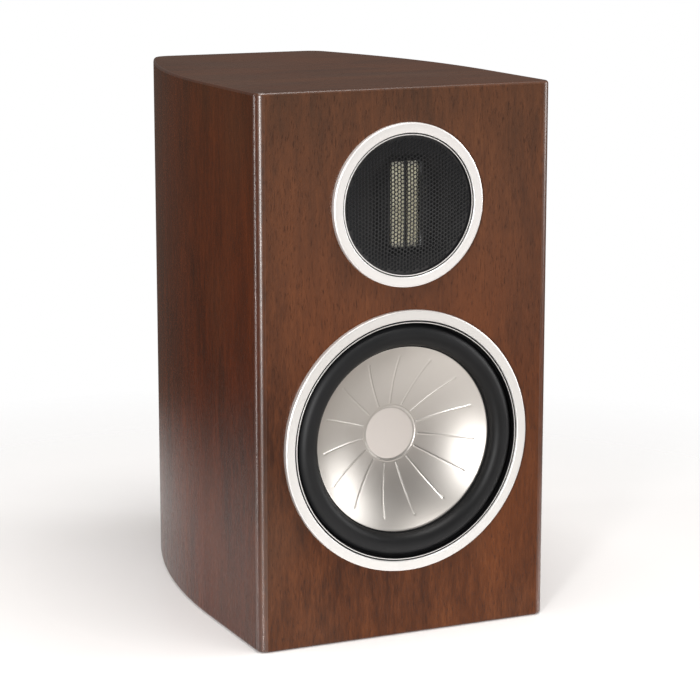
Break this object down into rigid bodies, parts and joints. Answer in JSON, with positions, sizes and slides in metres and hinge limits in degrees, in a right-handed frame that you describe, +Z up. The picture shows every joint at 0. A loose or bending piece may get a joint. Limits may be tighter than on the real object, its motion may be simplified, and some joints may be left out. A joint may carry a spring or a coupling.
{
  "type": "bookshelf speaker",
  "caption": "Compact two-way loudspeaker: curved walnut-veneered cabinet, ribbon tweeter behind a round grille, ribbed metal-cone woofer, rear reflex port and bi-wire binding posts.",
  "frame": {"origin": "on the surface the cabinet stands on, under the middle of the overall box (trim rings to binding posts)", "axes": "+Z up along the height; +Y towards the rear, from the drivers to the terminals; +X to the right as seen from the front"},
  "size_m": [0.173, 0.267, 0.3],
  "materials": {
    "walnut_veneer": "satin",
    "brace_board": "matte",
    "acoustic_foam": "matte",
    "neodymium": "satin",
    "satin_silver": "satin",
    "grille_steel": "satin",
    "faceplate_black": "satin",
    "ribbon_foil": "satin",
    "plain_steel": "satin",
    "winding_copper": "satin",
    "cup_plastic": "matte",
    "gasket_foam": "matte",
    "screw_black": "satin",
    "gold_plate": "polished",
    "cast_alloy": "matte",
    "surround_rubber": "satin",
    "cone_alloy": "satin",
    "former_kapton": "satin",
    "spider_cloth": "matte",
    "ferrite": "matte",
    "zinc_steel": "satin",
    "tinsel_braid": "satin",
    "port_plastic": "satin",
    "terminal_plastic": "satin",
    "circuit_board": "satin",
    "film_wrap": "gloss",
    "resistor_ceramic": "matte",
    "cable_jacket": "satin"
  },
  "bodies": {
    "cabinet": {"front_baffle": "walnut_veneer", "left_side_panel": "walnut_veneer", "right_side_panel": "walnut_veneer", "top_panel": "walnut_veneer", "bottom_panel": "walnut_veneer", "rear_panel": "walnut_veneer", "window_brace": "brace_board", "damping_foam": "acoustic_foam", "grille_magnets": "neodymium", "tweeter_trim_ring": "satin_silver", "tweeter_grille": "grille_steel", "tweeter_faceplate": "faceplate_black", "ribbon_clamps": "plain_steel", "tweeter_magnets": "neodymium", "tweeter_yoke": "plain_steel", "tweeter_transformer": "winding_copper", "tweeter_rear_cup": "cup_plastic", "tweeter_gasket": "gasket_foam", "tweeter_screws": "screw_black", "tweeter_terminals": "gold_plate", "woofer_trim_ring": "satin_silver", "woofer_basket": "cast_alloy", "woofer_gasket": "gasket_foam", "woofer_surround": "surround_rubber", "spider": "spider_cloth", "top_plate": "zinc_steel", "ferrite_magnet": "ferrite", "pole_yoke": "zinc_steel", "woofer_terminals": "gold_plate", "tinsel_leads": "tinsel_braid", "tension_bolt": "screw_black", "bolt_washer": "screw_black", "reflex_port": "port_plastic", "terminal_panel": "terminal_plastic", "terminal_screws": "screw_black", "binding_post_studs": "gold_plate", "post_insulators": "terminal_plastic", "post_nuts": "gold_plate", "crossover_board": "circuit_board", "board_fasteners": "plain_steel", "inductors": "winding_copper", "film_capacitors": "film_wrap", "power_resistors": "resistor_ceramic", "woofer_leads": "cable_jacket", "tweeter_leads": "cable_jacket", "input_leads": "cable_jacket"},
    "cone_assembly": {"woofer_cone": "cone_alloy", "voice_coil_former": "former_kapton", "voice_coil": "winding_copper"},
    "ribbon": {"ribbon_diaphragm": "ribbon_foil"},
    "link_positive": {"link_plate_positive": "gold_plate"},
    "link_negative": {"link_plate_negative": "gold_plate"},
    "washer_hf_positive": {"clamp_washer_hf_positive": "gold_plate"},
    "knob_hf_positive": {"knob_hf_positive": "gold_plate"},
    "washer_hf_negative": {"clamp_washer_hf_negative": "gold_plate"},
    "knob_hf_negative": {"knob_hf_negative": "gold_plate"},
    "washer_lf_positive": {"clamp_washer_lf_positive": "gold_plate"},
    "knob_lf_positive": {"knob_lf_positive": "gold_plate"},
    "washer_lf_negative": {"clamp_washer_lf_negative": "gold_plate"},
    "knob_lf_negative": {"knob_lf_negative": "gold_plate"}
  },
  "joints": [
    {"name": "woofer_travel", "type": "slide", "parent": "cabinet", "child": "cone_assembly", "axis": [0, -1, 0], "range_m": [-0.004, 0.004], "stiffness_N_per_m": 1200, "deforming": ["woofer_surround", "spider", "tinsel_leads"]},
    {"name": "ribbon_travel", "type": "slide", "parent": "cabinet", "child": "ribbon", "axis": [0, -1, 0], "range_m": [-0.0003, 0.0003], "stiffness_N_per_m": 100, "deforming": ["ribbon_diaphragm"]},
    {"name": "link_positive_slide", "type": "slide", "parent": "cabinet", "child": "link_positive", "axis": [1, 0, 0], "range_m": [0, 0.012]},
    {"name": "link_negative_slide", "type": "slide", "parent": "cabinet", "child": "link_negative", "axis": [-1, 0, 0], "range_m": [0, 0.012]},
    {"name": "clamp_rise_hf_positive", "type": "slide", "parent": "cabinet", "child": "washer_hf_positive", "axis": [0, 1, 0], "range_m": [0, 0.004]},
    {"name": "knob_turn_hf_positive", "type": "hinge", "parent": "washer_hf_positive", "child": "knob_hf_positive", "pos_m": [0.019, 0.1255, 0.071], "axis": [0, 1, 0], "range_deg": [0, 1440]},
    {"name": "clamp_rise_hf_negative", "type": "slide", "parent": "cabinet", "child": "washer_hf_negative", "axis": [0, 1, 0], "range_m": [0, 0.004]},
    {"name": "knob_turn_hf_negative", "type": "hinge", "parent": "washer_hf_negative", "child": "knob_hf_negative", "pos_m": [-0.019, 0.1255, 0.071], "axis": [0, 1, 0], "range_deg": [0, 1440]},
    {"name": "clamp_rise_lf_positive", "type": "slide", "parent": "cabinet", "child": "washer_lf_positive", "axis": [0, 1, 0], "range_m": [0, 0.004]},
    {"name": "knob_turn_lf_positive", "type": "hinge", "parent": "washer_lf_positive", "child": "knob_lf_positive", "pos_m": [0.019, 0.1255, 0.037], "axis": [0, 1, 0], "range_deg": [0, 1440]},
    {"name": "clamp_rise_lf_negative", "type": "slide", "parent": "cabinet", "child": "washer_lf_negative", "axis": [0, 1, 0], "range_m": [0, 0.004]},
    {"name": "knob_turn_lf_negative", "type": "hinge", "parent": "washer_lf_negative", "child": "knob_lf_negative", "pos_m": [-0.019, 0.1255, 0.037], "axis": [0, 1, 0], "range_deg": [0, 1440]}
  ],
  "couplings": [
    {"joint": "knob_turn_hf_positive", "follows": "clamp_rise_hf_positive", "rad_per_m": 6283.1},
    {"joint": "knob_turn_hf_negative", "follows": "clamp_rise_hf_negative", "rad_per_m": 6283.1},
    {"joint": "knob_turn_lf_positive", "follows": "clamp_rise_lf_positive", "rad_per_m": 6283.1},
    {"joint": "knob_turn_lf_negative", "follows": "clamp_rise_lf_negative", "rad_per_m": 6283.1}
  ]
}
